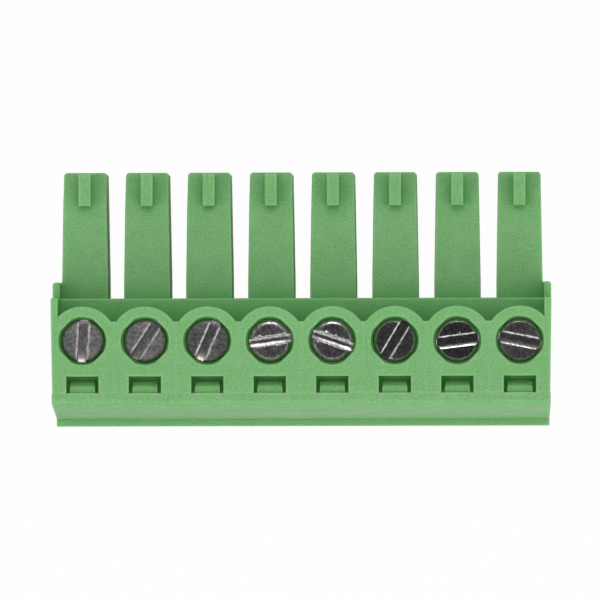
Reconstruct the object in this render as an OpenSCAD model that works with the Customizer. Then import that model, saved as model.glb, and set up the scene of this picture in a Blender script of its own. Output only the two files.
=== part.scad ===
// Pluggable screw terminal block: a row of poles on one pitch.
// Each pole has a slotted screw that lifts a clamping cage against a current bar,
// and a twin-leaf socket inside its own finger of the nose.
// +X runs along the row, +Y points to the nose, +Z is up, and the base lies on Z = 0.

/* [Row] */
// Number of poles in the row
poles = 8; // [2:1:12]
// Distance from one pole to the next
pitch = 3.81; // [3.75:0.01:4.2]

/* [Block] */
// Height from the base to the top face
body_h = 11.1; // [10.9:0.1:12]
// Length of the block from the front wall to the seam with the rear cover
block_l = 5.81; // [5.75:0.01:6.3]
// Height of the ledge in front of the screws
ledge_h = 7.8; // [6.8:0.1:8.4]
// Distance from the front wall back to the screw axes
screw_back = 2.61; // [2.5:0.01:2.7]
// Radius of the round front around each screw
scallop_r = 2.1; // [1.96:0.02:2.3]
// Distance from the screw axes forward to the flats between two scallops
scallop_root = 1.18; // [1:0.02:1.3]
// Thickness of the end walls beside the ledge
end_wall = 0.42; // [0.4:0.02:0.6]
// How much wider the block is at its front wall, each side
side_flare = 0.03; // [0:0.01:0.05]
// How much narrower the block is at the seam, each side
side_draft = 0.06; // [0.02:0.01:0.1]
// How far the two cheeks reach past the front wall
cheek_l = 0.99; // [0.6:0.01:2]
// Radius of the outer corners of the cheeks
cheek_round = 0.2; // [0.1:0.02:0.3]

/* [Nose] */
// Length of the fingers past the front wall
nose_l = 7.75; // [7.5:0.05:8.6]
// Width of a finger at its root
finger_w = 2.84; // [2.7:0.02:2.9]
// How much narrower a finger is at its tip
finger_taper = 0.22; // [0:0.02:0.3]
// Height of the underside of the fingers above the base
finger_lift = 1.2; // [0.8:0.1:1.3]
// Height of a finger
finger_h = 4.7; // [4.5:0.1:5]
// Length of the ramp on top of the finger tip
ramp_l = 2.08; // [1.6:0.02:2.4]
// Drop of the ramp at the tip
ramp_drop = 0.9; // [0.3:0.1:1]
// Chamfer of the corners of the finger tip
tip_chamfer = 0.14; // [0.05:0.01:0.25]
// Width of the coding rib
rib_w = 0.76; // [0.5:0.01:0.9]
// Distance from the tip of the finger back to the coding rib
rib_back = 0.08; // [0.04:0.01:0.3]
// Height of the coding rib above the finger
rib_h = 0.8; // [0.4:0.1:1]
// Width of the socket cavity in a finger
cavity_w = 1.9; // [1.86:0.02:2]
// Thickness of the wall at the finger tip
tip_wall = 0.6; // [0.5:0.05:0.7]
// Width and height of the pin entry
pin_w = 1.2; // [1:0.05:1.3]
// Bevel around the pin entry
pin_flare = 0.25; // [0.1:0.05:0.3]

/* [Screw] */
// Diameter of the screw head
head_d = 2.6; // [2.5:0.02:2.7]
// Height of the screw head
head_h = 1.5; // [1.3:0.05:1.7]
// Chamfer around the top of the head
head_edge = 0.19; // [0.05:0.01:0.25]
// Width of the driver slot
slot_w = 0.5; // [0.4:0.02:0.6]
// Depth of the driver slot
slot_depth = 0.75; // [0.5:0.05:0.9]
// Outer diameter of the thread
thread_d = 2; // [1.9:0.02:2.04]
// Bevel at the end of the thread
thread_end = 0.25; // [0.1:0.05:0.4]
// Diameter of the bore over the head
bore_d = 2.92; // [2.86:0.02:3]
// Clearance between the head and the four flats that guide it in its bore
head_gap = 0.09; // [0.05:0.01:0.1]
// Clearance around the thread in the wall under the head
seat_gap = 0.12; // [0.08:0.01:0.15]
// Clearance around the thread in the cage
thread_gap = 0.05; // [0.03:0.01:0.09]
// Wall between the head bore and the clamp chamber
seat_wall = 0.55; // [0.4:0.05:0.6]
// Turn of each driver slot from the row, pole by pole
slot_turn = [86, 57, 66, 8, -19, 59, 7, -11];

/* [Clamp] */
// Width of the clamp chamber
chamber_w = 3; // [2.9:0.02:3.1]
// Thickness of the floor under the chamber
chamber_floor = 1; // [0.8:0.05:1.05]
// Clearance around the cage in its chamber
slide_gap = 0.08; // [0.05:0.01:0.1]
// Length of the cage along the wire
cage_l = 2.6; // [2.5:0.02:2.64]
// Thickness of the side walls of the cage
cage_wall = 0.42; // [0.36:0.02:0.46]
// Thickness of the floor of the cage
cage_floor = 0.7; // [0.5:0.05:0.75]
// Thickness of the threaded top of the cage
cage_top = 1; // [0.8:0.05:1.05]
// Radius along the outer edges of the cage
cage_round = 0.3; // [0.1:0.02:0.4]
// Radius along the inner edges of the cage
cage_fillet = 0.1; // [0.04:0.02:0.12]
// Height of the grip ridges on the floor of the cage
ridge_h = 0.08; // [0.04:0.01:0.12]
// Lift of the cage from open to closed
cage_travel = 2.2; // [1.6:0.1:2.25]

/* [Contact] */
// Height of the underside of the current bar
bar_z = 4.4; // [4.2:0.05:4.45]
// Thickness of the current bar
bar_t = 0.4; // [0.3:0.02:0.5]
// Width of the current bar
bar_w = 1.8; // [1.6:0.02:1.82]
// Thickness of the sprung leaves
leaf_t = 0.3; // [0.2:0.02:0.32]
// Height of the root of the leaves below the bar
leaf_h = 2.3; // [2.1:0.05:2.4]
// How much lower the sprung leaves are than their root, above and below
leaf_trim = 0.22; // [0.1:0.02:0.3]
// Width of the gap where the leaves come closest
leaf_gap = 0.6; // [0.4:0.02:0.8]
// Clearance around the contact in its passage
contact_gap = 0.05; // [0.03:0.01:0.06]

/* [Rear cover] */
// Depth of the cover at the step over the wire entries
cover_d = 2.04; // [1.8:0.02:2.4]
// Thickness of the cover at its top edge
cover_top_t = 0.68; // [0.6:0.02:0.9]
// Thickness of the cover at the foot of its slope
cover_foot_t = 1.61; // [1.2:0.01:1.7]
// Radius of the edge between the top of the cover and its slope
cover_round = 0.3; // [0.1:0.02:0.4]
// Height of the step over the wire entries
step_h = 4.6; // [4.45:0.05:5.2]
// How far the top of the cover lies below the top face
cover_drop = 0.05; // [0.02:0.01:0.1]
// How far the ends of the cover stand out past the housing
cover_side = 0.03; // [0.01:0.01:0.06]
// How much narrower the cover is at its base, each side
cover_draft = 0.09; // [0.02:0.01:0.15]
// Fall of the step from the foot of the slope to the rear edge
step_fall = 0.1; // [0.04:0.02:0.3]
// Width of the wire tunnel
wire_w = 2; // [1.7:0.05:2]
// Height of the wire tunnel
wire_h = 2; // [1.7:0.05:2.05]
// Height of the underside of the wire tunnel
wire_z = 1.85; // [1.8:0.05:1.95]
// Bevel around the wire entry
wire_flare = 0.32; // [0.2:0.02:0.36]
// Length of the bevel around the wire entry
flare_l = 0.9; // [0.5:0.05:1.2]
// Clearance around the wire sleeves in the chamber
sleeve_gap = 0.1; // [0.05:0.01:0.14]
// Width of a window on top
window_w = 1.95; // [1.8:0.05:2.1]
// Length of a window on top
window_l = 1.02; // [0.96:0.02:1.1]
// Depth of a window on top
window_h = 1; // [0.95:0.05:1.3]
// Width of a locating tongue
tongue_w = 1.54; // [1.3:0.02:1.6]
// Length of a locating tongue
tongue_l = 0.76; // [0.7:0.02:0.88]
// Drop of a tongue's top at its root, below the cover's top edge
tongue_root = 0.12; // [0.02:0.01:0.2]
// Drop of a tongue's top at its end, below the cover's top edge
tongue_end = 0.8; // [0.4:0.05:0.85]

/* [Hidden] */
$fn = 64;
eps = 0.05;
body_w = poles * pitch;
total_l = nose_l + block_l + cover_d;
tip_y = total_l / 2;
front_y = tip_y - nose_l;
seam_y = front_y - block_l;
rear_y = seam_y - cover_d;
screw_y = front_y - screw_back;
finger_top = finger_lift + finger_h;
front_w = body_w + 2 * side_flare;
seam_w = body_w - 2 * side_draft;
cover_w = seam_w + 2 * cover_side;
rest_gap = 0.05;
cage_w = chamber_w - 2 * slide_gap;
cage_z = chamber_floor + rest_gap;
cage_room = bar_z + bar_t + rest_gap - cage_z - cage_floor;
cage_h = cage_floor + cage_room + cage_top;
chamber_front = screw_y + cage_l / 2 + slide_gap;
chamber_top = cage_z + cage_h + cage_travel + 0.1;
seat_z = chamber_top + seat_wall;
head_z = seat_z + rest_gap;
head_top = head_z + head_h;
screw_tip = bar_z + bar_t + 0.15;
cavity_top = bar_z + bar_t + contact_gap;
cavity_floor = bar_z - leaf_h - contact_gap;
socket_z = bar_z - leaf_h / 2;
bar_rear = screw_y - cage_l / 2 - 0.06;
finger_root = 0.2;
cover_root = 0.1;
tongue_lift = 0.08;
web_front = front_y + 1.7;
leaf_pinch = tip_y - 2.4;
leaf_tip = tip_y - tip_wall - 0.35;
leaf_mouth = bar_w / 2 - leaf_t - 0.06;
leaf_steps = 12;
sleeve_end = screw_y - cage_l / 2 - 0.12;
sleeve_top = bar_z - 0.14;
cover_top = body_h - cover_drop;
foot_y = seam_y - cover_foot_t;

function pole_x(i) = (i - (poles + 1) / 2) * pitch;

// A block between two opposite corners
module block(a, b) {
  translate(a) cube(b - a);
}

// A side profile in Y and Z, drawn out along X and centred on it
module along_x(w) {
  translate([-w / 2, 0, 0])
    rotate([90, 0, 90])
      linear_extrude(w)
        children();
}

// A front profile in X and Z, drawn out along Y between two places
module along_y(y0, y1) {
  translate([0, y1, 0])
    rotate([90, 0, 0])
      linear_extrude(y1 - y0)
        children();
}

// A rectangle on the X axis with round corners
module rounded(w, h, r) {
  translate([r - w / 2, 0])
    square([w - 2 * r, h]);
  translate([-w / 2, r])
    square([w, h - 2 * r]);
  for (x = [r - w / 2, w / 2 - r], y = [r, h - r])
    translate([x, y])
      circle(r);
}

// A square funnel along Y: narrow from y0 to y1, then flared out to y2
module funnel(w, h, z, y0, y1, y2, flare) {
  intersection() {
    translate([0, 0, z - flare])
      linear_extrude(h + 2 * flare)
        polygon([
          [-w / 2, y0], [w / 2, y0], [w / 2, y1], [w / 2 + flare, y2],
          [-w / 2 - flare, y2], [-w / 2, y1]
        ]);
    along_x(w + 2 * flare)
      polygon([[y0, z], [y1, z], [y2, z - flare], [y2, z + h + flare], [y1, z + h], [y0, z + h]]);
  }
}

// One finger of the nose with its ramp and coding rib
module finger() {
  root_y = front_y - finger_root;
  taper_y = front_y + cheek_l;
  tip_w = finger_w - finger_taper;
  ramp_y = tip_y - ramp_l;
  ramp_end = finger_top - ramp_drop;
  difference() {
    translate([0, 0, finger_lift])
      linear_extrude(finger_h)
        polygon([
          [-finger_w / 2, root_y], [finger_w / 2, root_y], [finger_w / 2, taper_y],
          [tip_w / 2, tip_y - tip_chamfer], [tip_w / 2 - tip_chamfer, tip_y],
          [tip_chamfer - tip_w / 2, tip_y], [-tip_w / 2, tip_y - tip_chamfer], [-finger_w / 2, taper_y]
        ]);
    along_x(finger_w + 1)
      polygon([
        [ramp_y, finger_top], [tip_y, ramp_end], [tip_y + 1, ramp_end],
        [tip_y + 1, finger_top + 1], [ramp_y, finger_top + 1]
      ]);
    along_x(finger_w + 1)
      polygon([
        [tip_y - tip_chamfer, finger_lift], [tip_y, finger_lift + tip_chamfer],
        [tip_y + 1, finger_lift + tip_chamfer], [tip_y + 1, finger_lift - 1],
        [tip_y - tip_chamfer, finger_lift - 1]
      ]);
  }
  along_x(rib_w)
    polygon([
      [ramp_y, ramp_end - eps], [tip_y - rib_back, ramp_end - eps],
      [tip_y - rib_back, finger_top + rib_h], [ramp_y, finger_top + rib_h]
    ]);
}

// A screw bore whose four flats, across the corners of the pole, guide the head
module head_bore() {
  flats = head_d + 2 * head_gap;
  intersection() {
    cylinder(d = bore_d, h = body_h);
    rotate([0, 0, 45])
      translate([-flats / 2, -flats / 2, 0])
        cube([flats, flats, body_h]);
  }
}

// The outline of the block from above, wider at the front than at the seam
module block_plan() {
  polygon([[-seam_w / 2, seam_y], [seam_w / 2, seam_y], [front_w / 2, front_y], [-front_w / 2, front_y]]);
}

// The cheek in line with the end wall, round at its outer corner, and its web to the last finger
module cheek() {
  inner_x = body_w / 2 - end_wall;
  end_x = front_w / 2;
  end_y = front_y + cheek_l;
  block([pole_x(poles), front_y - finger_root, finger_lift], [inner_x + eps, end_y, finger_top]);
  linear_extrude(ledge_h) {
    translate([inner_x, front_y - finger_root])
      square([end_x - cheek_round - inner_x, cheek_l + finger_root]);
    translate([inner_x, front_y - finger_root])
      square([end_x - inner_x, cheek_l + finger_root - cheek_round]);
    translate([end_x - cheek_round, end_y - cheek_round])
      circle(cheek_round);
  }
}

// Everything that one pole takes out of the housing
module pole_hollow() {
  translate([0, screw_y, seat_z])
    head_bore();
  translate([0, screw_y, chamber_top - eps])
    cylinder(d = thread_d + 2 * seat_gap, h = seat_wall + 2 * eps);
  block([-chamber_w / 2, seam_y - 1, chamber_floor], [chamber_w / 2, chamber_front, chamber_top]);
  block(
    [-cavity_w / 2, chamber_front - eps, cavity_floor],
    [cavity_w / 2, tip_y - tip_wall, cavity_top]
  );
  funnel(
    pin_w, pin_w, socket_z - pin_w / 2, tip_y - tip_wall - eps, tip_y - pin_flare,
    tip_y + eps, pin_flare + eps
  );
  block([-window_w / 2, seam_y - 1, body_h - window_h], [window_w / 2, seam_y + window_l, body_h + 1]);
}

module housing() {
  color([0.3, 0.55, 0.27])
    difference() {
      union() {
        linear_extrude(ledge_h)
          block_plan();
        intersection() {
          linear_extrude(body_h)
            block_plan();
          union() {
            block([-body_w, seam_y - 1, ledge_h - eps], [body_w, screw_y + scallop_root, body_h + 1]);
            for (i = [1:poles])
              translate([pole_x(i), screw_y, ledge_h - eps])
                cylinder(r = scallop_r, h = body_h);
            for (s = [0, 1])
              mirror([s, 0, 0])
                block([body_w / 2 - end_wall, seam_y - 1, ledge_h - eps], [body_w, front_y + 1, body_h + 1]);
          }
        }
        for (s = [0, 1])
          mirror([s, 0, 0])
            cheek();
        for (i = [1:poles])
          translate([pole_x(i), 0, 0])
            finger();
      }
      for (i = [1:poles])
        translate([pole_x(i), 0, 0])
          pole_hollow();
    }
}

// The part of the rear cover that reaches into one pole: a wire sleeve and a tongue under the window
module cover_insert() {
  tongue_z = body_h - window_h + tongue_lift;
  block(
    [sleeve_gap - chamber_w / 2, seam_y - cover_root, chamber_floor + sleeve_gap],
    [chamber_w / 2 - sleeve_gap, sleeve_end, sleeve_top]
  );
  along_x(tongue_w)
    polygon([
      [seam_y - cover_root, tongue_z], [seam_y + tongue_l, tongue_z],
      [seam_y + tongue_l, cover_top - tongue_end], [seam_y, cover_top - tongue_root],
      [seam_y - cover_root, cover_top - tongue_root]
    ]);
}

// The side of the rear cover, with a round edge between its top and its slope
module cover_side_view() {
  lean = atan((cover_foot_t - cover_top_t) / (cover_top - step_h));
  round_y = seam_y - cover_top_t + cover_round * (1 - sin(lean)) / cos(lean);
  round_z = cover_top - cover_round;
  polygon([
    [seam_y, 0], [rear_y, 0], [rear_y, step_h - step_fall], [foot_y, step_h],
    [round_y - cover_round * cos(lean), round_z + cover_round * sin(lean)],
    [round_y, round_z], [round_y, cover_top], [seam_y, cover_top]
  ]);
  translate([round_y, round_z])
    circle(cover_round);
}

module rear_cover() {
  base_w = cover_w - 2 * cover_draft;
  color([0.35, 0.6, 0.3])
    difference() {
      union() {
        intersection() {
          along_x(cover_w)
            cover_side_view();
          along_y(rear_y - 1, seam_y + 1)
            polygon([[-base_w / 2, 0], [base_w / 2, 0], [cover_w / 2, cover_top], [-cover_w / 2, cover_top]]);
        }
        for (i = [1:poles])
          translate([pole_x(i), 0, 0])
            cover_insert();
      }
      for (i = [1:poles])
        translate([pole_x(i), 0, 0])
          mirror([0, 1, 0])
            funnel(
              wire_w, wire_h, wire_z, -sleeve_end - eps, -rear_y - flare_l, -rear_y + eps,
              wire_flare
            );
    }
}

// A captive slotted screw with a plain shank at the thread's outer diameter
module screw(i) {
  r = thread_d / 2;
  color([0.5, 0.48, 0.48])
    translate([pole_x(i), screw_y, 0])
      rotate([0, 0, slot_turn[(i - 1) % len(slot_turn)]])
        difference() {
          rotate_extrude()
            polygon([
              [0, screw_tip], [r - thread_end, screw_tip], [r, screw_tip + thread_end], [r, head_z],
              [head_d / 2, head_z], [head_d / 2, head_top - head_edge],
              [head_d / 2 - head_edge, head_top], [0, head_top]
            ]);
          block([-head_d, -slot_w / 2, head_top - slot_depth], [head_d, slot_w / 2, head_top + 1]);
        }
}

// A square sleeve that the thread lifts, with grip ridges on its floor
module clamp_cage(i) {
  inner_w = cage_w - 2 * cage_wall;
  ridge_w = cage_l / 12;
  color([0.75, 0.74, 0.7])
    translate([pole_x(i), screw_y, cage_z]) {
      difference() {
        along_y(-cage_l / 2, cage_l / 2)
          difference() {
            rounded(cage_w, cage_h, cage_round);
            translate([0, cage_floor])
              rounded(inner_w, cage_room, cage_fillet);
          }
        translate([0, 0, cage_floor + cage_room - eps])
          cylinder(d = thread_d + 2 * thread_gap, h = cage_top + 2 * eps);
      }
      for (k = [-1:1])
        translate([0, k * cage_l / 4, cage_floor - eps])
          along_x(inner_w - 2 * cage_fillet)
            polygon([[-ridge_w, 0], [ridge_w, 0], [ridge_w, eps], [0, eps + ridge_h], [-ridge_w, eps]]);
    }
}

// Distance of a leaf's inner face from the middle of its pole: in to the pinch, then out to the tip
function leaf_x(y) =
  let (root = bar_w / 2 - leaf_t, pinch = leaf_gap / 2)
  y < leaf_pinch
    ? pinch + (root - pinch) * (1 + cos(180 * (y - web_front) / (leaf_pinch - web_front))) / 2
    : pinch + (leaf_mouth - pinch) * (1 - cos(90 * (y - leaf_pinch) / (leaf_tip - leaf_pinch)));

// Current bar with a twin-leaf socket hanging from it
module contact(i) {
  w = bar_w / 2;
  leaf_y = [for (k = [0:leaf_steps]) web_front + (leaf_tip - web_front) * k / leaf_steps];
  color([0.8, 0.78, 0.7])
    translate([pole_x(i), 0, 0]) {
      block([-w, bar_rear, bar_z], [w, web_front, bar_z + bar_t]);
      for (s = [0, 1])
        mirror([s, 0, 0]) {
          block([w - leaf_t, chamber_front + eps, bar_z - leaf_h], [w, web_front, bar_z + eps]);
          translate([0, 0, bar_z - leaf_h + leaf_trim])
            linear_extrude(leaf_h - 2 * leaf_trim)
              polygon(concat(
                [[w - leaf_t, web_front - leaf_t], [w, web_front - leaf_t]],
                [for (y = leaf_y) [leaf_x(y) + leaf_t, y]],
                [for (k = [leaf_steps:-1:0]) [leaf_x(leaf_y[k]), leaf_y[k]]]
              ));
        }
    }
}

housing();
rear_cover();
for (i = [1:poles]) screw(i);
for (i = [1:poles]) clamp_cage(i);
for (i = [1:poles]) contact(i);
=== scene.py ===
"""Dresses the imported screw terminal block: moulded green housing and cover, plated screws, cages and contacts."""

import math
from collections import namedtuple

import bmesh
import bpy
from bpy.props import FloatProperty, FloatVectorProperty, PointerProperty
from mathutils import Matrix, Vector, noise
from mathutils.bvhtree import BVHTree


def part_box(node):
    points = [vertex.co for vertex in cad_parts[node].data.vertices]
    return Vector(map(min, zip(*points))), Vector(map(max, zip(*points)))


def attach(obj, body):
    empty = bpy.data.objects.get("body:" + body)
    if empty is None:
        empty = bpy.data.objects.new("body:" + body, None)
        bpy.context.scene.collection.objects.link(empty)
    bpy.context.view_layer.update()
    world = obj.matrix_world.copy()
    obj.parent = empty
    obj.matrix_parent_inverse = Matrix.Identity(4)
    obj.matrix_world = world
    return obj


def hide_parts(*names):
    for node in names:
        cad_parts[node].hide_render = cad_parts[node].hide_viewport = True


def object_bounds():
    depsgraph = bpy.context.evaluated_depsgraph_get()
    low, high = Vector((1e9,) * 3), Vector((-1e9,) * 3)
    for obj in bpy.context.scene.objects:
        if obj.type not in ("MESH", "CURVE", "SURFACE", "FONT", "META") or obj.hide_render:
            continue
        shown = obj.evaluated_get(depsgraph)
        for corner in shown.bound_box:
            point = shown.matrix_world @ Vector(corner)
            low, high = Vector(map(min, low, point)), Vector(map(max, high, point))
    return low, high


bl_info = {
    "name": "Screw terminal block dressing",
    "version": (1, 0, 0),
    "blender": (4, 5, 0),
    "location": "View3D > Sidebar > Terminal",
    "description": "Finishes for a pluggable screw terminal block and a plain studio to see it in",
    "category": "Object",
}

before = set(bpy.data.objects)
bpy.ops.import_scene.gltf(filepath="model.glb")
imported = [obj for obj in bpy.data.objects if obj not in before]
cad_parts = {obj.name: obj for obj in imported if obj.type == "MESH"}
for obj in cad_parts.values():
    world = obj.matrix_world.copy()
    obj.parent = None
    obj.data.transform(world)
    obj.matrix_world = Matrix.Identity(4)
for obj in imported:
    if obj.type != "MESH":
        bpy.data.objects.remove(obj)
CAD_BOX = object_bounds()
MM = 0.001
POLES = sum(1 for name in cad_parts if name.startswith("screw_"))
# A screw head: how polished it is, from dull 0 to bright 1, which also darkens its colour as a painted reflection,
# radius of its turned rim, radii of its worn slot edges on the nose side and on the wire side, depth of the dish in
# its slot floor, and the share of the full rise at the ends of that floor
Head = namedtuple("Head", "polish rim nose_wear wire_wear dish rise")
# The heads from the first pole to the last, lengths in millimetres
HEADS = (
    Head(0.14, 0.08, 0.35, 0.35, 0.01, 1.0),
    Head(0.14, 0.05, 0.3, 0.3, 0.0, 0.35),
    Head(0.4, 0.06, 0.32, 0.32, 0.0, 1.0),
    Head(0.52, 1.0, 0.14, 0.1, 0.04, 0.6),
    Head(0.64, 0.9, 0.14, 0.1, 0.04, 0.6),
    Head(0.8, 0.08, 0.26, 0.26, 0.0, 0.2),
    Head(1.0, 0.1, 0.22, 0.4, 0.01, 0.2),
    Head(0.64, 0.1, 0.28, 0.3, 0.01, 0.2),
)
# Share of the plating's colour, and roughness where clean and where smudged, on a dull head and on a bright one; the
# smaller share on a bright head is a painted reflection, darkening it for the dark ceiling it mirrors
DULL_HEAD = (0.75, 0.3, 0.38)
BRIGHT_HEAD = (1.0, 0.1, 0.12)
# How dark the specks are, as a share of the colour, on turned screws and on bent strip
SCREW_SPECK = 0.5
STRIP_SPECK = 0.85
# How fine their scratches are, as a noise scale
SCREW_SCRATCH = 2600.0
STRIP_SCRATCH = 3400.0
# Edges sharper than these angles are rounded, and stay creased where they aren't rounded
ROUNDED_ANGLE = math.radians(50)
CREASE_ANGLE = math.radians(40)
# Faces that bend less than this are one flat face
FLAT_ANGLE = math.radians(0.4)
# An edge is rounded if nothing faces it within this reach, on a moulding and on bent strip
MOULDED_REACH = 3 * MM
STRIP_REACH = 0.3 * MM
# A shorter edge is rounded only where it joins another rounded one
LONE_EDGE = 0.15 * MM
# Two places closer than this are the same
SAME = 1e-6
# Brightness of the room from the horizon up to the dark ceiling over the camera
SKY = ((0.0, 0.5), (0.25, 0.85), (0.5, 1.05), (0.75, 1.2), (0.93, 1.2), (0.952, 0.09), (1.0, 0.05))
# Half the width of the floor, and how far it lies below the base, in metres
FLOOR_HALF = 1.5
FLOOR_DROP = 1e-5


class BlockSettings(bpy.types.PropertyGroup):
    """Sizes and colours of the dressed block"""

    green: FloatVectorProperty(
        name="Polyamide green", description="Deeper colour of the moulded housing", subtype="COLOR",
        size=3, min=0, max=1, default=(0.075, 0.325, 0.048),
    )
    green_pale: FloatVectorProperty(
        name="Pale green", description="Colour of the paler clouds in the moulding", subtype="COLOR",
        size=3, min=0, max=1, default=(0.205, 0.430, 0.150),
    )
    green_shade: FloatVectorProperty(
        name="Shaded green", description="Colour of corners that gather shade", subtype="COLOR",
        size=3, min=0, max=1, default=(0.028, 0.300, 0.018),
    )
    # Painted highlight: paler colour of the rounded edges, standing in for the light they catch
    painted_highlight_green: FloatVectorProperty(
        name="Painted highlight green", description="Colour of the rubbed edges", subtype="COLOR",
        size=3, min=0, max=1, default=(0.21, 0.48, 0.15),
    )
    # Painted glow: pale colour of thin walls beside narrow gaps, standing in for light that wanders through them
    painted_glow_green: FloatVectorProperty(
        name="Glowing green", description="Colour of thin walls beside narrow gaps", subtype="COLOR",
        size=3, min=0, max=1, default=(0.30, 0.72, 0.26),
    )
    pole_pitch: FloatProperty(
        name="Pole pitch", description="Distance between two poles", unit="LENGTH",
        min=0.001, max=0.01, default=3.81 * MM,
    )
    steel: FloatVectorProperty(
        name="Screw plating", description="Colour of the plated screws", subtype="COLOR",
        size=3, min=0, max=1, default=(0.545, 0.5, 0.485),
    )
    nickel: FloatVectorProperty(
        name="Cage plating", description="Colour of the nickel on the cages", subtype="COLOR",
        size=3, min=0, max=1, default=(0.70, 0.67, 0.61),
    )
    tin: FloatVectorProperty(
        name="Contact plating", description="Colour of the tin on the contacts", subtype="COLOR",
        size=3, min=0, max=1, default=(0.74, 0.73, 0.71),
    )
    edge_round: FloatProperty(
        name="Moulded edge", description="Rounding of the moulded edges", unit="LENGTH",
        min=0.0, max=0.0002, default=0.08 * MM,
    )
    seam_round: FloatProperty(
        name="Seam edge", description="Rounding of the housing's edge along the seam with the cover", unit="LENGTH",
        min=0.0, max=0.0001, default=0.045 * MM,
    )
    strip_round: FloatProperty(
        name="Strip edge", description="Rounding of the blanked edges of cages and contacts", unit="LENGTH",
        min=0.0, max=0.0001, default=0.04 * MM,
    )
    glow_depth: FloatProperty(
        name="Glow depth", description="How deep light wanders in the polyamide", unit="LENGTH",
        min=0.0, max=0.005, default=0.8 * MM,
    )
    shade_reach: FloatProperty(
        name="Shade reach", description="How far corners gather shade", unit="LENGTH",
        min=0.0, max=0.005, default=1.4 * MM,
    )
    # Painted highlight: how wide the paler colour on rounded edges is
    painted_highlight_reach: FloatProperty(
        name="Painted highlight reach", description="How wide the rubbed edges are", unit="LENGTH",
        min=0.0, max=0.001, default=0.16 * MM,
    )
    head_play: FloatProperty(
        name="Head play", description="Gap between a screw head and the shoulder around it", unit="LENGTH",
        min=0.0, max=0.0001, default=0.035 * MM,
    )
    shoulder_top: FloatProperty(
        name="Shoulder top", description="Depth below the head's top at which the shoulder starts", unit="LENGTH",
        min=-0.001, max=0.001, default=-0.1 * MM,
    )
    shoulder_foot: FloatProperty(
        name="Shoulder foot", description="Depth below the head's top at which the shoulder meets the head",
        unit="LENGTH", min=0.0, max=0.001, default=0.16 * MM,
    )
    head_bevel: FloatProperty(
        name="Head bevel", description="Bevel around the top of a screw head", unit="LENGTH",
        min=0.0, max=0.0004, default=0.11 * MM,
    )
    slot_burr: FloatProperty(
        name="Slot burr", description="Unevenness of the edges of the driver slots", unit="LENGTH",
        min=0.0, max=0.0001, default=0.042 * MM,
    )
    slot_rise: FloatProperty(
        name="Slot rise", description="Rise of the sawn slot floor at both ends", unit="LENGTH",
        min=0.0, max=0.0002, default=0.07 * MM,
    )
    thread_pitch: FloatProperty(
        name="Thread pitch", description="Rise of the screw thread in one turn", unit="LENGTH",
        min=0.0002, max=0.001, default=0.4 * MM,
    )
    thread_depth: FloatProperty(
        name="Thread depth", description="Depth of the screw thread", unit="LENGTH",
        min=0.0, max=0.0004, default=0.2 * MM,
    )
    thread_play: FloatProperty(
        name="Thread play", description="How far the thread stays clear of the cage", unit="LENGTH",
        min=0.0, max=0.0001, default=0.02 * MM,
    )
    thread_neck: FloatProperty(
        name="Plain neck", description="Length of plain shank under the screw head", unit="LENGTH",
        min=0.0, max=0.001, default=0.3 * MM,
    )


class StageSettings(bpy.types.PropertyGroup):
    """Camera, floor and lights"""

    distance: FloatProperty(
        name="Camera distance", description="From the camera to the top face", unit="LENGTH",
        min=0.1, max=3.0, default=0.69,
    )
    field: FloatProperty(
        name="Field width", description="Width of the picture at the top face", unit="LENGTH",
        min=0.001, max=0.2, default=36.56 * MM,
    )
    aim: FloatVectorProperty(
        name="Aim", description="Point in the middle of the picture", subtype="XYZ", unit="LENGTH",
        size=3, default=(-0.05 * MM, -0.10 * MM, 11.1 * MM),
    )
    offset: FloatVectorProperty(
        name="Camera offset", description="How far the camera stands to the right and to the rear of the aim",
        subtype="XYZ", unit="LENGTH", size=3, default=(12.2 * MM, -6.1 * MM, 0.0),
    )
    roll: FloatProperty(
        name="Camera roll", description="Turn of the picture", subtype="ANGLE",
        min=-0.1, max=0.1, default=math.radians(-0.15),
    )
    sky_level: FloatProperty(
        name="Room light", description="Brightness of the soft room", min=0.0, max=4.0, default=1.04,
    )
    sky_tint: FloatVectorProperty(
        name="Room tint", description="Colour of the soft room", subtype="COLOR",
        size=3, min=0, max=2, default=(0.95, 1.0, 1.06),
    )
    sky_slope: FloatProperty(
        name="Room slope", description="How much darker the room is beyond the nose", min=0.0, max=1.0, default=0.46,
    )
    lamp_distance: FloatProperty(
        name="Lamp distance", description="From the lamp to the object", unit="LENGTH", min=0.1, max=3.0, default=0.6,
    )
    lamp_lean: FloatProperty(
        name="Lamp lean", description="How far the lamp leans from overhead to the nose", subtype="ANGLE",
        min=0.0, max=1.5, default=math.radians(24),
    )
    lamp_width: FloatProperty(
        name="Lamp width", description="Half angle of the lamp along the row", subtype="ANGLE",
        min=0.01, max=1.0, default=math.radians(5),
    )
    lamp_length: FloatProperty(
        name="Lamp length", description="Half angle of the lamp across the row", subtype="ANGLE",
        min=0.01, max=1.0, default=math.radians(10),
    )
    lamp_power: FloatProperty(
        name="Lamp power", description="Power of the lamp", unit="POWER", min=0.0, max=10.0, default=0.4,
    )
    floor_tone: FloatProperty(
        name="Floor tone", description="Paleness of the floor where light falls on it", min=0.0, max=1.0, default=0.6,
    )
    floor_white: FloatProperty(
        name="Floor white", description="Share of plain white that the floor shows", min=0.0, max=1.0, default=0.98,
    )


def block_settings():
    """Sizes and colours of the block in the open scene."""
    return bpy.context.scene.terminal_block


def stage_settings():
    """Camera, floor and lights of the open scene."""
    return bpy.context.scene.terminal_stage


# Node groups and materials


def add_node(tree, kind, inputs=(), **settings):
    """One shader node with its settings and its input values or links."""
    node = tree.nodes.new(kind)
    for name, value in settings.items():
        setattr(node, name, value)
    for name, value in dict(inputs).items():
        socket = node.inputs[name]
        if isinstance(value, bpy.types.NodeSocket):
            tree.links.new(value, socket)
        else:
            socket.default_value = value
    return node


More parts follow.
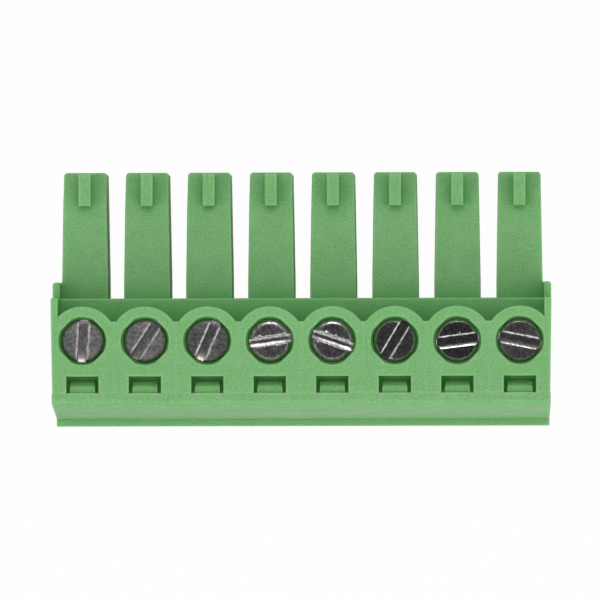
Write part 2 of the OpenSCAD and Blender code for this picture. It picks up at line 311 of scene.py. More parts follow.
def calculate(tree, operation, first, second=0.0, third=0.0):
    """The result of one Math node."""
    node = add_node(tree, "ShaderNodeMath", {0: first, 1: second, 2: third}, operation=operation)
    return node.outputs[0]


def spread(tree, factor, start, stop, low, high):
    """A value that runs from low to high while the factor runs from start to stop."""
    node = add_node(
        tree, "ShaderNodeMapRange",
        {"Value": factor, "From Min": start, "From Max": stop, "To Min": low, "To Max": high},
    )
    return node.outputs["Result"]


def blend_colours(tree, factor, low, high):
    """A colour between two colours or sockets."""
    ends = [c if isinstance(c, bpy.types.NodeSocket) else (*c, 1.0) for c in (low, high)]
    node = add_node(tree, "ShaderNodeMix", data_type="RGBA")
    for socket, value in zip((node.inputs[0], node.inputs[6], node.inputs[7]), (factor, *ends)):
        if isinstance(value, bpy.types.NodeSocket):
            tree.links.new(value, socket)
        else:
            socket.default_value = value
    return node.outputs[2]


def nearby(tree, reach, inside):
    """How open a surface is within reach, from 0 to 1, seen from outside or from inside the solid."""
    node = add_node(
        tree, "ShaderNodeAmbientOcclusion", {"Distance": reach}, samples=8, inside=inside, only_local=True,
    )
    return node.outputs["AO"]


def new_group(name, inputs, outputs):
    """An empty shader node group with named sockets, and its input and output nodes."""
    group = bpy.data.node_groups.new(name, "ShaderNodeTree")
    for label, value in inputs:
        socket = group.interface.new_socket(label, in_out="INPUT", socket_type="NodeSocketFloat")
        socket.default_value = value
    for label in outputs:
        group.interface.new_socket(label, in_out="OUTPUT", socket_type="NodeSocketFloat")
    return group, group.nodes.new("NodeGroupInput").outputs, group.nodes.new("NodeGroupOutput").inputs


def surface_clouds():
    """Soft clouds of tone that break up into a fine grain."""
    found = bpy.data.node_groups.get("surface_clouds")
    if found:
        return found
    group, given, out = new_group(
        "surface_clouds",
        [("Cloud Scale", 900.0), ("Cloud Roughness", 0.75), ("Grain Scale", 9000.0)],
        ["Tone", "Grain"],
    )
    place = add_node(group, "ShaderNodeTexCoord").outputs["Object"]
    cloud = add_node(
        group, "ShaderNodeTexNoise",
        {"Vector": place, "Scale": given["Cloud Scale"], "Detail": 6.0, "Roughness": given["Cloud Roughness"]},
    )
    grain = add_node(
        group, "ShaderNodeTexNoise",
        {"Vector": place, "Scale": given["Grain Scale"], "Detail": 2.0, "Roughness": 0.6},
    )
    group.links.new(cloud.outputs["Fac"], out["Tone"])
    group.links.new(grain.outputs["Fac"], out["Grain"])
    return group


def handling_marks():
    """Fine scratches that lie in two directions, wider smudges and dark specks."""
    found = bpy.data.node_groups.get("handling_marks")
    if found:
        return found
    group, given, out = new_group(
        "handling_marks", [("Scratch Scale", 3000.0), ("Smudge Scale", 1800.0), ("Speck Scale", 5200.0)],
        ["Clean", "Smudges", "Height"],
    )
    place = add_node(group, "ShaderNodeTexCoord").outputs["Object"]
    lines = []
    for stretch, turn in (((1.0, 0.05, 1.0), 0.5), ((0.05, 1.0, 1.0), 0.2)):
        laid = add_node(
            group, "ShaderNodeMapping", {"Vector": place, "Scale": stretch, "Rotation": (0.0, 0.0, turn)},
        )
        line = add_node(
            group, "ShaderNodeTexNoise",
            {"Vector": laid.outputs["Vector"], "Scale": given["Scratch Scale"], "Detail": 2.0},
        )
        lines.append(line.outputs["Fac"])
    smudges = add_node(
        group, "ShaderNodeTexNoise", {"Vector": place, "Scale": given["Smudge Scale"], "Detail": 4.0},
    )
    specks = add_node(group, "ShaderNodeGroup", {"Grain Scale": given["Speck Scale"]}, node_tree=surface_clouds())
    grain = specks.outputs["Grain"]
    group.links.new(spread(group, grain, 0.35, 0.6, 0.0, 1.0), out["Clean"])
    group.links.new(spread(group, smudges.outputs["Fac"], 0.3, 0.7, 1.0, 0.0), out["Smudges"])
    group.links.new(calculate(group, "MULTIPLY_ADD", lines[0], lines[1], grain), out["Height"])
    return group


def new_material(name):
    """A material with its node tree and its shader."""
    material = bpy.data.materials.new(name)
    material.use_nodes = True
    tree = material.node_tree
    return material, tree, tree.nodes["Principled BSDF"]


def polyamide():
    """Green moulded polyamide: grained colour, satin gloss, a fine eroded texture, painted shade in corners, painted
    glow beside narrow gaps and painted highlights on rounded edges.
    """
    found = bpy.data.materials.get("moulded_polyamide")
    if found:
        return found
    s = block_settings()
    material, tree, shader = new_material("moulded_polyamide")
    clouds = add_node(tree, "ShaderNodeGroup", node_tree=surface_clouds()).outputs
    mottle = calculate(tree, "MULTIPLY_ADD", clouds["Tone"], 0.4, clouds["Grain"])
    tone = spread(tree, mottle, 0.48, 0.92, 0.0, 1.0)
    colour = blend_colours(tree, tone, s.green, s.green_pale)
    # A faint pale line on top where two poles meet
    place = add_node(
        tree, "ShaderNodeSeparateXYZ", {"Vector": add_node(tree, "ShaderNodeTexCoord").outputs["Object"]},
    ).outputs
    top = CAD_BOX[1][2]
    aside = calculate(tree, "PINGPONG", place["X"], 0.5 * s.pole_pitch)
    line = spread(tree, aside, 0.02 * MM, 0.09 * MM, 0.3, 0.0)
    on_top = spread(tree, place["Z"], top - 0.04 * MM, top - 0.01 * MM, 0.0, 1.0)
    colour = blend_colours(tree, calculate(tree, "MULTIPLY", line, on_top), colour, s.green_pale)
    # Painted shade: corners are painted a deeper, shaded green
    corner = nearby(tree, s.shade_reach, False)
    colour = blend_colours(tree, spread(tree, corner, 0.3, 0.95, 0.0, 1.0), s.green_shade, colour)
    # Painted glow: thin walls beside narrow gaps are painted a pale green, standing in for light that wanders through
    # them
    painted_glow_mask = spread(tree, corner, 0.06, 0.24, 1.0, 0.0)
    colour = blend_colours(tree, painted_glow_mask, colour, s.painted_glow_green)
    # Painted highlight: rounded edges are painted paler, standing in for the light they catch
    highlighted = spread(tree, nearby(tree, s.painted_highlight_reach, True), 0.6, 0.95, 0.7, 0.0)
    tree.links.new(blend_colours(tree, highlighted, colour, s.painted_highlight_green), shader.inputs["Base Color"])
    tree.links.new(spread(tree, clouds["Tone"], 0.3, 0.7, 0.62, 0.5), shader.inputs["Roughness"])
    bump = add_node(tree, "ShaderNodeBump", {"Height": clouds["Grain"], "Strength": 0.25, "Distance": 0.02 * MM})
    tree.links.new(bump.outputs["Normal"], shader.inputs["Normal"])
    shader.inputs["IOR"].default_value = 1.53
    shader.inputs["Specular IOR Level"].default_value = 0.95
    shader.inputs["Subsurface Weight"].default_value = 0.5
    shader.inputs["Subsurface Radius"].default_value = (0.5, 1.0, 0.4)
    shader.inputs["Subsurface Scale"].default_value = s.glow_depth
    return material


def plating(name, colour, speck, smooth, rough, scratch_scale):
    """Plated metal with scratches, smudges and specks of a darker share of its colour."""
    found = bpy.data.materials.get(name)
    if found:
        return found
    material, tree, shader = new_material(name)
    marks = add_node(
        tree, "ShaderNodeGroup", {"Scratch Scale": scratch_scale}, node_tree=handling_marks(),
    ).outputs
    dull = tuple(speck * c for c in colour)
    tree.links.new(blend_colours(tree, marks["Clean"], dull, colour), shader.inputs["Base Color"])
    tree.links.new(spread(tree, marks["Smudges"], 0.0, 1.0, smooth, rough), shader.inputs["Roughness"])
    bump = add_node(tree, "ShaderNodeBump", {"Height": marks["Height"], "Strength": 0.35, "Distance": 0.004 * MM})
    tree.links.new(bump.outputs["Normal"], shader.inputs["Normal"])
    shader.inputs["Metallic"].default_value = 1.0
    return material


def floor_paint():
    """Pale floor: white where it is looked at or mirrored, with the object's soft shadow kept."""
    s = stage_settings()
    material, tree, shader = new_material("studio_floor")
    shader.inputs["Base Color"].default_value = (s.floor_tone, s.floor_tone, s.floor_tone, 1.0)
    shader.inputs["Roughness"].default_value = 0.9
    glow = add_node(tree, "ShaderNodeEmission", {"Color": (1.0, 1.0, 1.0, 1.0), "Strength": 1.0})
    path = add_node(tree, "ShaderNodeLightPath").outputs
    looked_at = calculate(tree, "MAXIMUM", path["Is Camera Ray"], path["Is Glossy Ray"])
    shown = calculate(tree, "MAXIMUM", looked_at, path["Is Transmission Ray"])
    white = calculate(tree, "MULTIPLY", shown, s.floor_white)
    mix = add_node(tree, "ShaderNodeMixShader", {"Fac": white, 1: shader.outputs["BSDF"], 2: glow.outputs["Emission"]})
    tree.links.new(mix.outputs["Shader"], tree.nodes["Material Output"].inputs["Surface"])
    return material


# Mesh helpers


def add_object(name, data):
    """A new object in the open scene."""
    made = bpy.data.objects.new(name, data)
    bpy.context.scene.collection.objects.link(made)
    return made


def new_piece(name, mesh, node, body, material):
    """An object made from a bmesh that takes the place of a CAD node, which it hides, and moves with its body."""
    data = bpy.data.meshes.new(name)
    mesh.to_mesh(data)
    mesh.free()
    piece = add_object(name, data)
    data.materials.append(material)
    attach(piece, body)
    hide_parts(node)
    return piece


def smooth_piece(name, mesh, node, body, material):
    """A piece with rounded edges that keeps its large faces flat."""
    shade(mesh)
    piece = new_piece(name, mesh, node, body, material)
    modifier = piece.modifiers.new("flat_faces", "WEIGHTED_NORMAL")
    modifier.mode = "FACE_AREA"
    modifier.keep_sharp = True


def solid_copy(node):
    """The CAD solid as a bmesh with joined corners and flat faces in one piece."""
    mesh = bmesh.new()
    mesh.from_mesh(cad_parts[node].data)
    bmesh.ops.remove_doubles(mesh, verts=mesh.verts, dist=SAME)
    bmesh.ops.dissolve_limit(mesh, angle_limit=FLAT_ANGLE, verts=mesh.verts, edges=mesh.edges)
    mesh.normal_update()
    return mesh


def outer_edges(mesh, reach, seam):
    """The sharp outward edges away from the seam that nothing of the same solid faces within reach."""
    tree = BVHTree.FromBMesh(mesh)
    edges = []
    for edge in mesh.edges:
        if len(edge.link_faces) != 2 or not edge.is_convex or edge.calc_face_angle() < ROUNDED_ANGLE:
            continue
        if seam is not None and all(abs(v.co.y - seam) < SAME for v in edge.verts):
            continue
        out = (edge.link_faces[0].normal + edge.link_faces[1].normal).normalized()
        middle = (edge.verts[0].co + edge.verts[1].co) / 2
        if tree.ray_cast(middle + out * 0.01 * MM, out, reach)[0] is None:
            edges.append(edge)
    chosen = set(edges)

    def joined(edge):
        return any(e in chosen and e is not edge for v in edge.verts for e in v.link_edges)

    return [e for e in edges if e.calc_length() > LONE_EDGE or joined(e)]


def round_edges(mesh, edges, radius, segments):
    """Rounds edges with square corners where three of them meet."""
    bmesh.ops.bevel(
        mesh, geom=edges, offset=radius, offset_type="OFFSET", segments=segments, profile=0.5, affect="EDGES",
        clamp_overlap=False, miter_outer="SHARP", miter_inner="SHARP",
    )


def shade(mesh):
    """Smooth faces, with a crease along every edge that is still sharp."""
    mesh.normal_update()
    for face in mesh.faces:
        face.smooth = True
    for edge in mesh.edges:
        edge.smooth = len(edge.link_faces) == 2 and edge.calc_face_angle() < CREASE_ANGLE


def round_tongues(mesh, seam):
    """Bends the sloped top of every locating tongue into a round one."""
    least, bend = 0.3 * MM, 2.2
    ramps = []
    for edge in mesh.edges:
        root, end = sorted((v.co for v in edge.verts), key=lambda c: c.y)
        straight = abs(root.x - end.x) < SAME and abs(root.y - seam) < SAME
        if straight and min(root.z - end.z, end.y - root.y) > least:
            ramps.append(edge)
    if not ramps:
        raise RuntimeError("the rear cover has no tongues")
    root, end = sorted((v.co.copy() for v in ramps[0].verts), key=lambda c: c.y)
    made = bmesh.ops.subdivide_edges(mesh, edges=ramps, cuts=7, use_grid_fill=True)
    for item in made["geom_inner"]:
        if isinstance(item, bmesh.types.BMVert):
            share = (item.co.y - root.y) / (end.y - root.y)
            item.co.z = root.z + (end.z - root.z) * share ** bend


def close_bore(mesh, screw):
    """Narrows the bore of a screw below the top of its head, so that a green shoulder stands around the head."""
    s = block_settings()
    low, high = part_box(screw)
    axis, snug = (low.xy + high.xy) / 2, (high.x - low.x) / 2 + s.head_play
    band, long_side = 0.2 * MM, 0.5 * MM

    def on_wall(place):
        return abs((place.xy - axis).length - snug) < band

    walls = []
    for edge in mesh.edges:
        a, b = sorted((v.co for v in edge.verts), key=lambda c: c.z)
        if max((c.xy - axis).length for c in (a, b)) < snug + band and a.z < high.z - MM and b.z > high.z:
            walls.append(edge)
    if not walls:
        raise RuntimeError(f"the bore over {screw} is missing")
    foot, top = (pick(v.co.z for e in walls for v in e.verts) for pick in (min, max))
    # Two rows of points divide the wall, and then the flats of the bore are divided along it
    bmesh.ops.subdivide_edges(mesh, edges=walls, cuts=2, use_only_quads=True)
    flats = []
    for edge in mesh.edges:
        a, b = (v.co for v in edge.verts)
        level = abs(a.z - b.z) < SAME and foot - SAME < a.z < top + SAME
        if level and (a - b).length > long_side and on_wall(a) and on_wall(b):
            flats.append(edge)
    bmesh.ops.subdivide_edges(mesh, edges=flats, cuts=6, use_only_quads=True)
    for vert in mesh.verts:
        height = (vert.co.z - foot) / (top - foot)
        if not on_wall(vert.co) or not -0.1 < height < 0.9:
            continue
        if height > 0.5:
            vert.co.z = high.z - s.shoulder_top
            continue
        if height > 0.1:
            vert.co.z = high.z - s.shoulder_foot
        vert.co.x, vert.co.y = axis + (vert.co.xy - axis).normalized() * snug


def bent_strip(node, name, body, material):
    """A part bent from plated strip: its CAD solid with blanked edges rounded."""
    mesh = solid_copy(node)
    round_edges(mesh, outer_edges(mesh, STRIP_REACH, None), block_settings().strip_round, 2)
    smooth_piece(name, mesh, node, body, material)


def driver_slot(node, axis):
    """Turn, half width and floor of a screw's driver slot, read from the faces of the slot."""
    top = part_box(node)[1].z
    turn = half = floor = None
    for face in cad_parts[node].data.polygons:
        out = face.center.xy - axis.xy
        if out.length > 0.9 * MM or face.center.z < top - 1.0 * MM:
            continue
        if abs(face.normal.z) < 0.1:
            turn, half = math.atan2(-face.normal.x, face.normal.y), abs(out.dot(face.normal.xy))
        elif face.normal.z > 0.9 and face.center.z < top - 0.1 * MM:
            floor = face.center.z
    if turn is None or floor is None:
        raise RuntimeError(f"{node} has no driver slot")
    return turn, half, floor


def two_arcs(depth, wide, narrow, change, stop):
    """How far a worn edge has moved sideways at a depth: a wide arc, then a narrow one, angles from the flat."""
    first = wide * (1 - math.cos(change))
    if depth <= first:
        return wide * math.sin(math.acos(1 - depth / wide))
    turn = math.acos(max(math.cos(change) - (depth - first) / narrow, math.cos(stop)))
    return wide * math.sin(change) + narrow * (math.sin(turn) - math.sin(change))


class SlottedHead:
    """A turned screw head with a driver slot along X: two flats with soft rims and worn slot edges, and a bevel."""

    COLUMNS = 80
    # The rim turns from the flat to the bevel, and a worn edge from the flat into the slot, by a wide arc and then a
    # narrow one: radius of the narrow arc, and the angles from the flat at which the arcs change and stop
    RIM_TURN, RIM_CHANGE, RIM_STOP = 0.3 * MM, math.radians(14), math.radians(45)
    SLOT_TURN, SLOT_CHANGE, SLOT_STOP = 0.05 * MM, math.radians(30), math.radians(90)
    # Where rows of points lie between a slot edge and the rim, and between the two sides of the slot floor
    FLAT_SHARES = (0.05, 0.12, 0.22, 0.4, 0.6, 0.8)
    FLOOR_SHARES = (0.1, 0.25, 0.4, 0.5, 0.6, 0.75, 0.9)
    # Points that close the rim at each end of the slot
    END_POINTS = 5

    def __init__(self, mesh, radius, under, top, slot, head, seed):
        s = block_settings()
        self.mesh, self.radius, self.under, self.top, self.seed = mesh, radius, under, top, seed
        self.half, self.floor = slot
        self.bevel, self.burr = s.head_bevel, s.slot_burr
        self.rim, self.dish, self.rise = head.rim * MM, head.dish * MM, head.rise * s.slot_rise
        self.wear = {1: head.nose_wear * MM, -1: head.wire_wear * MM}
        change, stop = math.cos(self.RIM_CHANGE), math.cos(self.RIM_STOP)
        self.rim_depth = self.rim * (1 - change) + self.RIM_TURN * (change - stop)
        self.flat = radius - self.bevel + self.rim_depth - self.rim_width(1.0)

    def rim_width(self, depth):
        """How far the turned rim has moved out at a depth."""
        return two_arcs(depth, self.rim, self.RIM_TURN, self.RIM_CHANGE, self.RIM_STOP)

    def rim_radius(self, depth):
        """Radius of the head at a depth."""
        return min(self.flat + self.rim_width(depth) + max(0.0, depth - self.rim_depth), self.radius)

    def edge_width(self, depth, edge):
        """How far a worn slot edge of some radius has moved in at a depth."""
        return two_arcs(depth, edge, self.SLOT_TURN, self.SLOT_CHANGE, self.SLOT_STOP)

    def levels(self, edge):
        """Depths of the rows of points that follow both the rim and a worn slot edge, with the slot floor last."""
        change = math.cos(self.SLOT_CHANGE)
        foot = edge * (1 - change) + self.SLOT_TURN * change
        found = {self.rim * (1 - math.cos(self.RIM_CHANGE * k / 5)) for k in range(6)}
        found |= {self.rim_depth * k / 4 for k in (1, 2, 3, 4)}
        found |= {edge * (1 - math.cos(self.SLOT_CHANGE * k / 5)) for k in range(1, 6)}
        found |= {foot - self.SLOT_TURN * math.cos(math.radians(a)) for a in (45, 60, 75, 90)}
        found = sorted(found | {self.bevel, self.bevel + 0.03 * MM})
        apart = [d for d, after in zip(found, found[1:] + [1.0]) if after - d > 0.0004 * MM]
        return [*apart, self.top - self.floor]

    def worn(self, x, y, z, side, wide):
        """A point near the slot's edge, pushed about by wear."""
        beside = max(0.0, 1 - abs(abs(y) - self.half) / (0.1 * MM + wide))
        near = beside * max(0.0, 1 - (self.top - z) / (0.15 * MM))
        fine = noise.noise(Vector((x / (0.06 * MM), side * 3.1, 7.3 * self.seed)))
        broad = noise.noise(Vector((x / (0.3 * MM), side * 5.7, 3.9 * self.seed)))
        push = self.burr * near * (0.55 * fine + 1.2 * broad)
        return x, y + side * push, z + 0.7 * push

    def skin(self, rows):
        """Faces between rows of points, which may share their ends."""
        for one, two in zip(rows, rows[1:]):
            for k in range(self.COLUMNS):
                corners = list(dict.fromkeys((one[k], one[k + 1], two[k + 1], two[k])))
                if len(corners) > 2:
                    self.mesh.faces.new(corners)

    def level_rows(self, side, depth, rise):
        """The points along a slot edge and around the rim at one depth, which share their ends."""
        edge = self.wear[side]
        wide = self.edge_width(1.0, edge)
        y, r = self.half + wide - self.edge_width(depth, edge), self.rim_radius(depth)
        reach, start = math.sqrt(r * r - y * y), math.asin(y / r)
        z = self.top - depth
        inner, outer = [], []
        for k in range(self.COLUMNS + 1):
            x = reach * (1 - 2 * k / self.COLUMNS)
            lift = rise * abs(x / self.radius) ** 5
            inner.append(self.mesh.verts.new(self.worn(x, side * y, z + lift, side, wide)))
            if k in (0, self.COLUMNS):
                outer.append(inner[k])
            else:
                turn = start + (math.pi - 2 * start) * k / self.COLUMNS
                outer.append(self.mesh.verts.new((r * math.cos(turn), side * r * math.sin(turn), z)))
        return inner, outer

    def flat_rows(self, side, inner, outer):
        """Rows of points over the flat, from the slot edge to the rim."""
        wide = self.edge_width(1.0, self.wear[side])
        rows = [inner]
        for share in self.FLAT_SHARES:
            row = [inner[0]]
            for a, b in zip(inner[1:-1], outer[1:-1]):
                spot = a.co.lerp(b.co, share)
                row.append(self.mesh.verts.new(self.worn(spot.x, spot.y, self.top, side, wide)))
            rows.append([*row, inner[-1]])
        return [*rows, outer]

    def half_head(self, side):
        """One side of the head, from its flat down. Returns its last rows along the slot floor and around the rim."""
        *depths, floor = self.levels(self.wear[side])
        inner, outer = self.level_rows(side, depths[0], 0.0)
        self.skin(self.flat_rows(side, inner, outer))
        for depth in (*depths[1:], floor):
            above = inner, outer
            inner, outer = self.level_rows(side, depth, self.rise if depth == floor else 0.0)
            self.skin([above[0], inner])
            self.skin([above[1], outer])
        return inner, outer

    def slot_floor(self, one, two):
        """The dished floor between the two sides of the slot. Returns its rows of points."""
        rows = [one]
        for share in self.FLOOR_SHARES:
            row = []
            for a, b in zip(one, two):
                spot = a.co.lerp(b.co, share)
                spot.z -= self.dish * (1 - (2 * share - 1) ** 2)
                row.append(self.mesh.verts.new(spot))
            rows.append(row)
        rows.append(two)
        self.skin(rows)
        return rows

    def slot_end(self, k, one, two, rows):
        """The wall below one end of the slot floor. Returns the points that close the rim there."""
        start, sweep = math.atan2(one.co.y, one.co.x), 2 * math.asin(abs(one.co.y) / self.radius)
        arc = []
        for step in range(1, self.END_POINTS + 1):
            turn = start + (1 if k else -1) * sweep * step / (self.END_POINTS + 1)
            place = self.radius * math.cos(turn), self.radius * math.sin(turn), one.co.z
            arc.append(self.mesh.verts.new(place))
        self.mesh.faces.new([one, *arc, two, *(row[k] for row in reversed(rows[1:-1]))])
        return arc

    def build(self):
        """Makes the closed head."""
        (nose_floor, nose_rim), (wire_floor, wire_rim) = (self.half_head(side) for side in (1, -1))
        rows = self.slot_floor(nose_floor, wire_floor)
        left, right = (self.slot_end(k, nose_rim[k], wire_rim[k], rows) for k in (self.COLUMNS, 0))
        ring = [*nose_rim, *left, *reversed(wire_rim), *reversed(right)]
        foot = [self.mesh.verts.new((v.co.x, v.co.y, self.under)) for v in ring]
        for k in range(len(ring)):
            n = (k + 1) % len(ring)
            self.mesh.faces.new((ring[k], ring[n], foot[n], foot[k]))
        self.mesh.faces.new(foot)
        bmesh.ops.recalc_face_normals(self.mesh, faces=self.mesh.faces)


def threaded_shank(mesh, low, high, radius):
    """A closed shank with a right-hand thread, plain under the head and tapered at its end."""
    s = block_settings()
    steps, rows_a_turn = 48, 12
    rows = int((high - low) / s.thread_pitch * rows_a_turn)
    rings = []
    for row in range(rows + 1):
        z = low + (high - low) * row / rows
        limit = radius - max(0.0, 0.25 * MM - (z - low))
        ring = []
        for step in range(steps):
            turn = step / steps
            phase = ((z - low) / s.thread_pitch - turn) % 1.0
            flank = min(max((abs(2 * phase - 1) - 0.125) / 0.625, 0.0), 1.0)
            plain = min(max((high - z) / s.thread_neck - 1.0, 0.0), 1.0)
            r = min(radius - s.thread_depth * flank * plain, limit)
            ring.append(mesh.verts.new((r * math.cos(math.tau * turn), r * math.sin(math.tau * turn), z)))
        rings.append(ring)
    for lower, upper in zip(rings, rings[1:]):
        for k in range(steps):
            n = (k + 1) % steps
            mesh.faces.new((lower[k], lower[n], upper[n], upper[k]))
    mesh.faces.new(list(reversed(rings[0])))
    mesh.faces.new(rings[-1])


def clamp_screw(node, head, seed):
    """A slotted screw in its own frame, with worn slot edges and a real thread. Returns it with its place."""
    low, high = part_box(node)
    axis = Vector(((low.x + high.x) / 2, (low.y + high.y) / 2, 0.0))
    turn, half, floor = driver_slot(node, axis)
    s = block_settings()
    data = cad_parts[node].data
    radius = (high.x - low.x) / 2
    rim_heights = [v.co.z for v in data.vertices if (v.co.xy - axis.xy).length > radius - 0.01 * MM]
    under = min(rim_heights)
    shank = max((v.co.xy - axis.xy).length for v in data.vertices if v.co.z < under - 0.01 * MM)
    mesh = bmesh.new()
    SlottedHead(mesh, radius, under, high.z, (half, floor), head, seed).build()
    threaded_shank(mesh, low.z, under + 0.02 * MM, shank - s.thread_play)
    shade(mesh)
    return mesh, Matrix.Translation(axis) @ Matrix.Rotation(turn, 4, "Z")


# Stage


def make_floor():
    """A plain pale floor just below the base."""
    mesh = bpy.data.meshes.new("floor")
    corners = [(x * FLOOR_HALF, y * FLOOR_HALF, 0.0) for x, y in ((-1, -1), (1, -1), (1, 1), (-1, 1))]
    mesh.from_pydata(corners, [], [(0, 1, 2, 3)])
    floor = add_object("floor", mesh)
    floor.location.z = -FLOOR_DROP
    mesh.materials.append(floor_paint())


def make_room():
    """Soft light from all round, dark straight over the camera."""
    s = stage_settings()
    world = bpy.data.worlds.new("soft_room")
    world.use_nodes = True
    bpy.context.scene.world = world
    tree = world.node_tree
    sky = tree.nodes["Background"]
    way = add_node(
        tree, "ShaderNodeSeparateXYZ", {"Vector": add_node(tree, "ShaderNodeTexCoord").outputs["Generated"]},
    ).outputs
    tone = add_node(tree, "ShaderNodeValToRGB", {"Fac": way["Z"]})
    stops = tone.color_ramp.elements
    for position, value in SKY[1:-1]:
        stops.new(position).color = (*(value * c for c in s.sky_tint), 1.0)
    for stop, (position, value) in zip((stops[0], stops[-1]), (SKY[0], SKY[-1])):
        stop.position, stop.color = position, (*(value * c for c in s.sky_tint), 1.0)
    tree.links.new(tone.outputs["Color"], sky.inputs["Color"])
    # The room is darker beyond the nose and brighter behind the wire side
    rear = calculate(tree, "MULTIPLY_ADD", way["Y"], -s.sky_slope, 1.0)
    tree.links.new(calculate(tree, "MULTIPLY", rear, s.sky_level), sky.inputs["Strength"])


def make_lamp():
    """A lamp that leans from overhead to the nose."""
    s = stage_settings()
    light = bpy.data.lights.new("nose_light", "AREA")
    light.shape, light.energy = "RECTANGLE", s.lamp_power
    light.size, light.size_y = (2 * s.lamp_distance * math.tan(a) for a in (s.lamp_width, s.lamp_length))
    lamp = add_object("nose_light", light)
    lamp.rotation_euler = (-s.lamp_lean, 0.0, 0.0)
    lamp.location = lamp.rotation_euler.to_matrix() @ Vector((0.0, 0.0, s.lamp_distance))


def make_camera():
    """A camera far above the block, level with the row of poles apart from a small roll."""
    s = stage_settings()
    data = bpy.data.cameras.new("camera")
    camera = add_object("camera", data)
    bpy.context.scene.camera = camera
    aim = Vector(s.aim)
    camera.location = aim + Vector(s.offset) + Vector((0, 0, s.distance))
    sight = aim - camera.location
    data.sensor_width = 36.0
    data.lens = data.sensor_width * sight.length / s.field
    data.clip_start, data.clip_end = 0.01, 10.0
    turn = sight.to_track_quat("-Z", "Y").to_matrix().to_4x4()
    across = turn.inverted() @ Vector((1, 0, 0))
    level = Matrix.Rotation(math.atan2(across.y, across.x) + s.roll, 4, "Z")
    camera.rotation_euler = (turn @ level).to_euler()


# Operators


class TERMINAL_OT_housing(bpy.types.Operator):
    """Make the moulded housing"""

    bl_idname = "terminal.housing"
    bl_label = "Housing"

    def execute(self, context):
        s = block_settings()
        low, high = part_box("housing")
        mesh = solid_copy("housing")
        for i in range(1, POLES + 1):
            close_bore(mesh, f"screw_{i}")
        round_edges(mesh, outer_edges(mesh, MOULDED_REACH, low.y), s.edge_round, 3)
        seam = [e for e in mesh.edges if all(abs(v.co.y - low.y) + abs(v.co.z - high.z) < SAME for v in e.verts)]
        round_edges(mesh, seam, s.seam_round, 2)
        smooth_piece("moulded_housing", mesh, "housing", "housing", polyamide())
        return {"FINISHED"}


class TERMINAL_OT_rear_cover(bpy.types.Operator):
    """Make the moulded rear cover"""

    bl_idname = "terminal.rear_cover"
    bl_label = "Rear cover"

    def execute(self, context):
        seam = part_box("housing")[0].y
        mesh = solid_copy("rear_cover")
        round_tongues(mesh, seam)
        round_edges(mesh, outer_edges(mesh, MOULDED_REACH, seam), block_settings().edge_round, 3)
        smooth_piece("moulded_rear_cover", mesh, "rear_cover", "housing", polyamide())
        return {"FINISHED"}


class TERMINAL_OT_screws(bpy.types.Operator):
    """Make the slotted clamp screws"""

    bl_idname = "terminal.screws"
    bl_label = "Screws"

    def execute(self, context):
        s = block_settings()
        for i in range(1, POLES + 1):
            head = HEADS[(i - 1) % len(HEADS)]
            # Painted reflection: a more polished head gets a darker colour, standing in for the dark ceiling it
            # mirrors, as well as a lower roughness
            tone, smooth, rough = (a + (b - a) * head.polish for a, b in zip(DULL_HEAD, BRIGHT_HEAD))
            colour = tuple(tone * c for c in s.steel)
            material = plating(f"screw_plating_{i}", colour, SCREW_SPECK, smooth, rough, SCREW_SCRATCH)
            mesh, place = clamp_screw(f"screw_{i}", head, i)
            piece = new_piece(f"slotted_screw_{i}", mesh, f"screw_{i}", f"screw_{i}", material)
            piece.matrix_world = place
        return {"FINISHED"}


class TERMINAL_OT_cages(bpy.types.Operator):
    """Make the rising clamp cages"""

    bl_idname = "terminal.cages"
    bl_label = "Clamp cages"

    def execute(self, context):
        s = block_settings()
        material = plating("cage_plating", tuple(s.nickel), STRIP_SPECK, 0.22, 0.4, STRIP_SCRATCH)
        for i in range(1, POLES + 1):
            bent_strip(f"clamp_cage_{i}", f"rising_cage_{i}", f"clamp_cage_{i}", material)
        return {"FINISHED"}


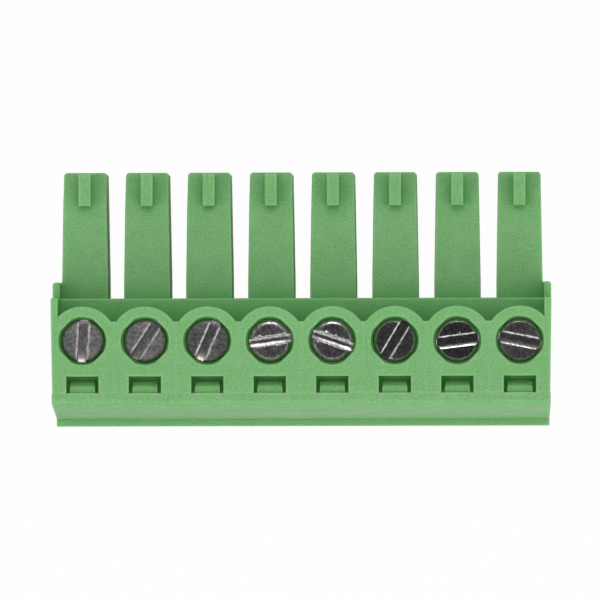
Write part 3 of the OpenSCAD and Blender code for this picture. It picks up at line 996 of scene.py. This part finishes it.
class TERMINAL_OT_contacts(bpy.types.Operator):
    """Make the sprung contacts"""

    bl_idname = "terminal.contacts"
    bl_label = "Contacts"

    def execute(self, context):
        s = block_settings()
        material = plating("contact_plating", tuple(s.tin), STRIP_SPECK, 0.28, 0.45, STRIP_SCRATCH)
        for i in range(1, POLES + 1):
            bent_strip(f"contact_{i}", f"sprung_contact_{i}", "housing", material)
        return {"FINISHED"}


class TERMINAL_OT_stage(bpy.types.Operator):
    """Make the floor, the lights and the camera"""

    bl_idname = "terminal.stage"
    bl_label = "Stage"

    def execute(self, context):
        context.scene.view_settings.view_transform = "Standard"
        make_floor()
        make_room()
        make_lamp()
        make_camera()
        return {"FINISHED"}


OPERATORS = (
    TERMINAL_OT_housing,
    TERMINAL_OT_rear_cover,
    TERMINAL_OT_screws,
    TERMINAL_OT_cages,
    TERMINAL_OT_contacts,
    TERMINAL_OT_stage,
)


class TERMINAL_PT_sidebar(bpy.types.Panel):
    """Lists the pieces of the terminal block"""

    bl_idname = "TERMINAL_PT_sidebar"
    bl_label = "Terminal block"
    bl_space_type = "VIEW_3D"
    bl_region_type = "UI"
    bl_category = "Terminal"

    def draw(self, context):
        for operator in OPERATORS:
            self.layout.operator(operator.bl_idname)
        for group in (context.scene.terminal_block, context.scene.terminal_stage):
            box = self.layout.box()
            for name in group.__annotations__:
                box.prop(group, name)


CLASSES = (BlockSettings, StageSettings, *OPERATORS, TERMINAL_PT_sidebar)


def register():
    for cls in CLASSES:
        bpy.utils.register_class(cls)
    bpy.types.Scene.terminal_block = PointerProperty(type=BlockSettings)
    bpy.types.Scene.terminal_stage = PointerProperty(type=StageSettings)


def unregister():
    del bpy.types.Scene.terminal_stage
    del bpy.types.Scene.terminal_block
    for cls in reversed(CLASSES):
        bpy.utils.unregister_class(cls)


def main():
    register()
    bpy.ops.terminal.stage()
    bpy.ops.terminal.housing()
    bpy.ops.terminal.rear_cover()
    bpy.ops.terminal.screws()
    bpy.ops.terminal.cages()
    bpy.ops.terminal.contacts()


if __name__ == "__main__":
    main()
